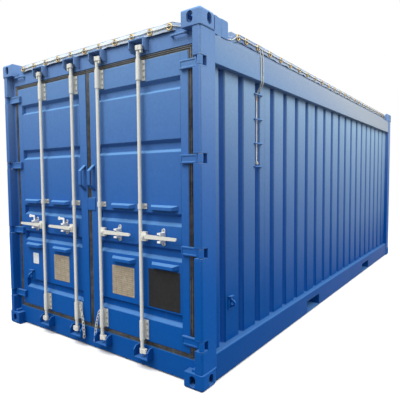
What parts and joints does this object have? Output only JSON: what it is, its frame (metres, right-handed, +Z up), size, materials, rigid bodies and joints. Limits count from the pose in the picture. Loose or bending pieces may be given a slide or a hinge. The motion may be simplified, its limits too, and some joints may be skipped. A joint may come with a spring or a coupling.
{
  "type": "open-top freight container",
  "caption": "Open-top steel freight container with corrugated walls, tarpaulin roof and two hinged end doors with turning lock rods.",
  "frame": {"origin": "middle of the footprint, at the underside of the bottom castings", "axes": "+Z up, length along Y, door end towards -Y, the side with the rope tail towards +X"},
  "size_m": [2.438, 6.058, 2.591],
  "materials": {
    "frame_paint": "semi-gloss, weathered",
    "wall_paint": "semi-gloss, faded",
    "door_paint": "semi-gloss, weathered",
    "hinge_steel": "worn",
    "galvanised": "dull zinc",
    "gasket_rubber": "matt",
    "tarp_cloth": "coated cloth",
    "rope_fibre": "laid fibre",
    "floor_wood": "worn boards"
  },
  "bodies": {
    "container": {"bottom_corner_castings": "frame_paint", "top_corner_castings": "frame_paint", "door_posts": "frame_paint", "hinge_clevises": "hinge_steel", "rear_posts": "frame_paint", "fork_pockets": "frame_paint", "bottom_side_rails": "frame_paint", "top_side_rails": "frame_paint", "door_sill": "frame_paint", "door_header": "frame_paint", "rear_sill": "frame_paint", "rear_header": "frame_paint", "right_side_wall": "wall_paint", "left_side_wall": "wall_paint", "end_wall": "wall_paint", "floor": "floor_wood", "cross_members": "frame_paint", "roof_bows": "galvanised", "tarpaulin": "tarp_cloth", "lashing_rope": "rope_fibre", "corner_gussets": "frame_paint", "cam_keepers": "frame_paint", "header_pins": "frame_paint", "side_padeyes": "frame_paint", "rope_staples": "frame_paint", "rope_tail": "rope_fibre"},
    "left_door": {"left_door_frame": "door_paint", "left_door_panel": "door_paint", "left_door_gasket": "gasket_rubber", "left_hinge_blades": "door_paint", "left_rod_bearings": "galvanised", "left_handle_catches": "galvanised", "left_rain_hoods": "door_paint", "left_grab_handle": "door_paint", "left_door_padeye": "door_paint"},
    "right_door": {"right_door_frame": "door_paint", "right_door_panel": "door_paint", "right_door_gasket": "gasket_rubber", "right_hinge_blades": "door_paint", "right_rod_bearings": "galvanised", "right_handle_catches": "galvanised", "right_rain_hoods": "door_paint", "right_grab_handle": "door_paint"},
    "left_outer_rod": {"left_outer_lock_rod": "galvanised"},
    "left_inner_rod": {"left_inner_lock_rod": "galvanised"},
    "right_inner_rod": {"right_inner_lock_rod": "galvanised"},
    "right_outer_rod": {"right_outer_lock_rod": "galvanised"}
  },
  "joints": [
    {"name": "right_door_hinge", "type": "hinge", "parent": "container", "child": "right_door", "pos_m": [1.193, -3.003, 0], "axis": [0, 0, 1], "range_deg": [0, 260]},
    {"name": "left_door_hinge", "type": "hinge", "parent": "container", "child": "left_door", "pos_m": [-1.193, -3.003, 0], "axis": [0, 0, -1], "range_deg": [0, 260]},
    {"name": "left_outer_rod_turn", "type": "hinge", "parent": "left_door", "child": "left_outer_rod", "pos_m": [-0.62717, -2.999, 0], "axis": [0, 0, -1], "range_deg": [-90, 0]},
    {"name": "left_inner_rod_turn", "type": "hinge", "parent": "left_door", "child": "left_inner_rod", "pos_m": [-0.167, -2.999, 0], "axis": [0, 0, -1], "range_deg": [-90, 0]},
    {"name": "right_inner_rod_turn", "type": "hinge", "parent": "right_door", "child": "right_inner_rod", "pos_m": [0.167, -2.999, 0], "axis": [0, 0, 1], "range_deg": [-90, 0]},
    {"name": "right_outer_rod_turn", "type": "hinge", "parent": "right_door", "child": "right_outer_rod", "pos_m": [0.62717, -2.999, 0], "axis": [0, 0, 1], "range_deg": [-90, 0]}
  ]
}
